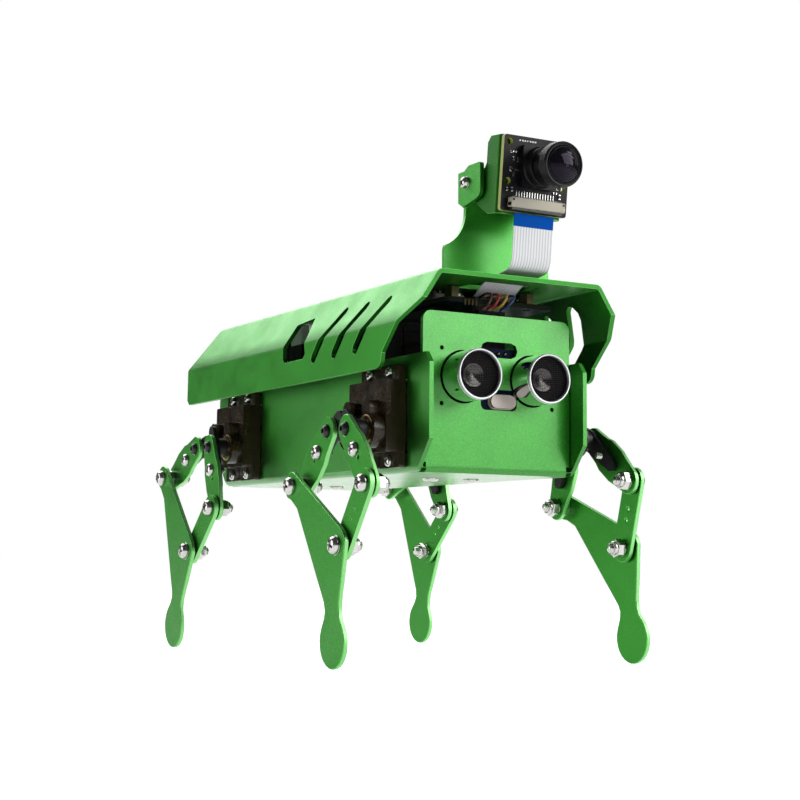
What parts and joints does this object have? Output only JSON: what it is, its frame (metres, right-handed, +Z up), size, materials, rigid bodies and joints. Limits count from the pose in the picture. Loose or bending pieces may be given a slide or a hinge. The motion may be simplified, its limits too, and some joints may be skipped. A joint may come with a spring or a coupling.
{
  "type": "four-legged walking robot",
  "caption": "Green sheet-metal walking robot with crank-driven linkage legs, ultrasonic range sensor and a tilting camera head.",
  "frame": {"origin": "on the floor under the middle of the bounding box", "axes": "+X to the robot's front, +Y to its left, +Z up"},
  "size_m": [0.1928, 0.109, 0.167],
  "materials": {
    "green_sheet": "bead-blasted, green anodised",
    "servo_case": "smoky translucent brown",
    "black_plastic": "moulded",
    "steel": "zinc plated",
    "silver_can": "polished",
    "circuit_board": "solder mask over glass-fibre board",
    "camera_board": "black solder mask over glass-fibre board",
    "cream_plastic": "moulded",
    "cable": "flat laminated cable",
    "lens_body": "black barrel with coated front glass",
    "battery": "shrink-wrapped cells in a holder",
    "brass": "plain"
  },
  "bodies": {
    "chassis": {"chassis_tray": "green_sheet", "top_cover": "green_sheet", "neck_bracket": "green_sheet", "tilt_bolt": "steel", "camera_cable": "cable", "ultrasonic_board": "circuit_board", "transducer_right": "silver_can", "transducer_left": "silver_can", "main_board": "circuit_board", "board_post_right": "brass", "board_post_left": "brass", "battery_pack": "battery", "front_right_servo_rear": "servo_case", "front_right_servo_front": "servo_case", "rear_right_servo_rear": "servo_case", "rear_right_servo_front": "servo_case", "front_left_servo_rear": "servo_case", "front_left_servo_front": "servo_case", "rear_left_servo_rear": "servo_case", "rear_left_servo_front": "servo_case"},
    "camera_head": {"camera_bracket": "green_sheet", "camera_board": "camera_board", "camera_lens": "lens_body", "camera_connector": "cream_plastic"},
    "front_right_rear_crank_body": {"front_right_crank_rear": "green_sheet", "front_right_horn_rear": "black_plastic", "front_right_bolt_rear": "steel"},
    "front_right_front_crank_body": {"front_right_crank_front": "green_sheet", "front_right_horn_front": "black_plastic", "front_right_bolt_front": "steel"},
    "front_right_link_body": {"front_right_link": "green_sheet", "front_right_bolt_low": "steel"},
    "front_right_leg_body": {"front_right_leg": "green_sheet"},
    "rear_right_rear_crank_body": {"rear_right_crank_rear": "green_sheet", "rear_right_horn_rear": "black_plastic", "rear_right_bolt_rear": "steel"},
    "rear_right_front_crank_body": {"rear_right_crank_front": "green_sheet", "rear_right_horn_front": "black_plastic", "rear_right_bolt_front": "steel"},
    "rear_right_link_body": {"rear_right_link": "green_sheet", "rear_right_bolt_low": "steel"},
    "rear_right_leg_body": {"rear_right_leg": "green_sheet"},
    "front_left_rear_crank_body": {"front_left_crank_rear": "green_sheet", "front_left_horn_rear": "black_plastic", "front_left_bolt_rear": "steel"},
    "front_left_front_crank_body": {"front_left_crank_front": "green_sheet", "front_left_horn_front": "black_plastic", "front_left_bolt_front": "steel"},
    "front_left_link_body": {"front_left_link": "green_sheet", "front_left_bolt_low": "steel"},
    "front_left_leg_body": {"front_left_leg": "green_sheet"},
    "rear_left_rear_crank_body": {"rear_left_crank_rear": "green_sheet", "rear_left_horn_rear": "black_plastic", "rear_left_bolt_rear": "steel"},
    "rear_left_front_crank_body": {"rear_left_crank_front": "green_sheet", "rear_left_horn_front": "black_plastic", "rear_left_bolt_front": "steel"},
    "rear_left_link_body": {"rear_left_link": "green_sheet", "rear_left_bolt_low": "steel"},
    "rear_left_leg_body": {"rear_left_leg": "green_sheet"}
  },
  "joints": [
    {"name": "front_right_rear_crank_turn", "type": "hinge", "parent": "chassis", "child": "front_right_rear_crank_body", "pos_m": [0.0377, -0.0472, 0.0734], "axis": [0, -1, 0], "range_deg": [-20, 20]},
    {"name": "front_right_front_crank_turn", "type": "hinge", "parent": "chassis", "child": "front_right_front_crank_body", "pos_m": [0.0503, -0.0472, 0.0734], "axis": [0, -1, 0], "range_deg": [-20.5, 20.5]},
    {"name": "front_right_leg_swing", "type": "hinge", "parent": "front_right_rear_crank_body", "child": "front_right_leg_body", "pos_m": [0.02127, -0.0514, 0.05646], "axis": [0, -1, 0], "range_deg": [-6.04, 6.04]},
    {"name": "front_right_link_swing", "type": "hinge", "parent": "front_right_front_crank_body", "child": "front_right_link_body", "pos_m": [0.06627, -0.0493, 0.05603], "axis": [0, -1, 0], "range_deg": [-6.16, 6.16]},
    {"name": "rear_right_rear_crank_turn", "type": "hinge", "parent": "chassis", "child": "rear_right_rear_crank_body", "pos_m": [-0.0701, -0.0472, 0.0734], "axis": [0, -1, 0], "range_deg": [-20, 20]},
    {"name": "rear_right_front_crank_turn", "type": "hinge", "parent": "chassis", "child": "rear_right_front_crank_body", "pos_m": [-0.0575, -0.0472, 0.0734], "axis": [0, -1, 0], "range_deg": [-20.5, 20.5]},
    {"name": "rear_right_leg_swing", "type": "hinge", "parent": "rear_right_rear_crank_body", "child": "rear_right_leg_body", "pos_m": [-0.09133, -0.0514, 0.06309], "axis": [0, -1, 0], "range_deg": [-5.1, 5.1]},
    {"name": "rear_right_link_swing", "type": "hinge", "parent": "rear_right_front_crank_body", "child": "rear_right_link_body", "pos_m": [-0.04993, -0.0493, 0.05105], "axis": [0, -1, 0], "range_deg": [-8.72, 8.72]},
    {"name": "front_left_rear_crank_turn", "type": "hinge", "parent": "chassis", "child": "front_left_rear_crank_body", "pos_m": [0.0377, 0.0472, 0.0734], "axis": [0, -1, 0], "range_deg": [-20, 20]},
    {"name": "front_left_front_crank_turn", "type": "hinge", "parent": "chassis", "child": "front_left_front_crank_body", "pos_m": [0.0503, 0.0472, 0.0734], "axis": [0, -1, 0], "range_deg": [-20.5, 20.5]},
    {"name": "front_left_leg_swing", "type": "hinge", "parent": "front_left_rear_crank_body", "child": "front_left_leg_body", "pos_m": [0.02887, 0.0514, 0.05151], "axis": [0, -1, 0], "range_deg": [-7.08, 7.08]},
    {"name": "front_left_link_swing", "type": "hinge", "parent": "front_left_front_crank_body", "child": "front_left_link_body", "pos_m": [0.06929, 0.0493, 0.0594], "axis": [0, -1, 0], "range_deg": [-4.7, 4.7]},
    {"name": "rear_left_rear_crank_turn", "type": "hinge", "parent": "chassis", "child": "rear_left_rear_crank_body", "pos_m": [-0.0701, 0.0472, 0.0734], "axis": [0, -1, 0], "range_deg": [-20, 20]},
    {"name": "rear_left_front_crank_turn", "type": "hinge", "parent": "chassis", "child": "rear_left_front_crank_body", "pos_m": [-0.0575, 0.0472, 0.0734], "axis": [0, -1, 0], "range_deg": [-20.5, 20.5]},
    {"name": "rear_left_leg_swing", "type": "hinge", "parent": "rear_left_rear_crank_body", "child": "rear_left_leg_body", "pos_m": [-0.09062, 0.0514, 0.06175], "axis": [0, -1, 0], "range_deg": [-5.2, 5.2]},
    {"name": "rear_left_link_swing", "type": "hinge", "parent": "rear_left_front_crank_body", "child": "rear_left_link_body", "pos_m": [-0.0473, 0.0493, 0.05212], "axis": [0, -1, 0], "range_deg": [-8.08, 8.08]},
    {"name": "camera_tilt", "type": "hinge", "parent": "chassis", "child": "camera_head", "pos_m": [0.0603, 0.0038, 0.1537], "axis": [0, 1, 0], "range_deg": [-25, 20], "deforming": ["camera_cable"]}
  ],
  "couplings": [
    {"joint": "front_right_front_crank_turn", "follows": "front_right_rear_crank_turn", "ratio": 1},
    {"joint": "front_right_leg_swing", "follows": "front_right_rear_crank_turn", "ratio": -0.277},
    {"joint": "front_right_link_swing", "follows": "front_right_rear_crank_turn", "ratio": -0.283},
    {"joint": "rear_right_front_crank_turn", "follows": "rear_right_rear_crank_turn", "ratio": 1},
    {"joint": "rear_right_leg_swing", "follows": "rear_right_rear_crank_turn", "ratio": -0.23},
    {"joint": "rear_right_link_swing", "follows": "rear_right_rear_crank_turn", "ratio": -0.411},
    {"joint": "front_left_front_crank_turn", "follows": "front_left_rear_crank_turn", "ratio": 1},
    {"joint": "front_left_leg_swing", "follows": "front_left_rear_crank_turn", "ratio": -0.329},
    {"joint": "front_left_link_swing", "follows": "front_left_rear_crank_turn", "ratio": -0.21},
    {"joint": "rear_left_front_crank_turn", "follows": "rear_left_rear_crank_turn", "ratio": 1},
    {"joint": "rear_left_leg_swing", "follows": "rear_left_rear_crank_turn", "ratio": -0.235},
    {"joint": "rear_left_link_swing", "follows": "rear_left_rear_crank_turn", "ratio": -0.379}
  ]
}
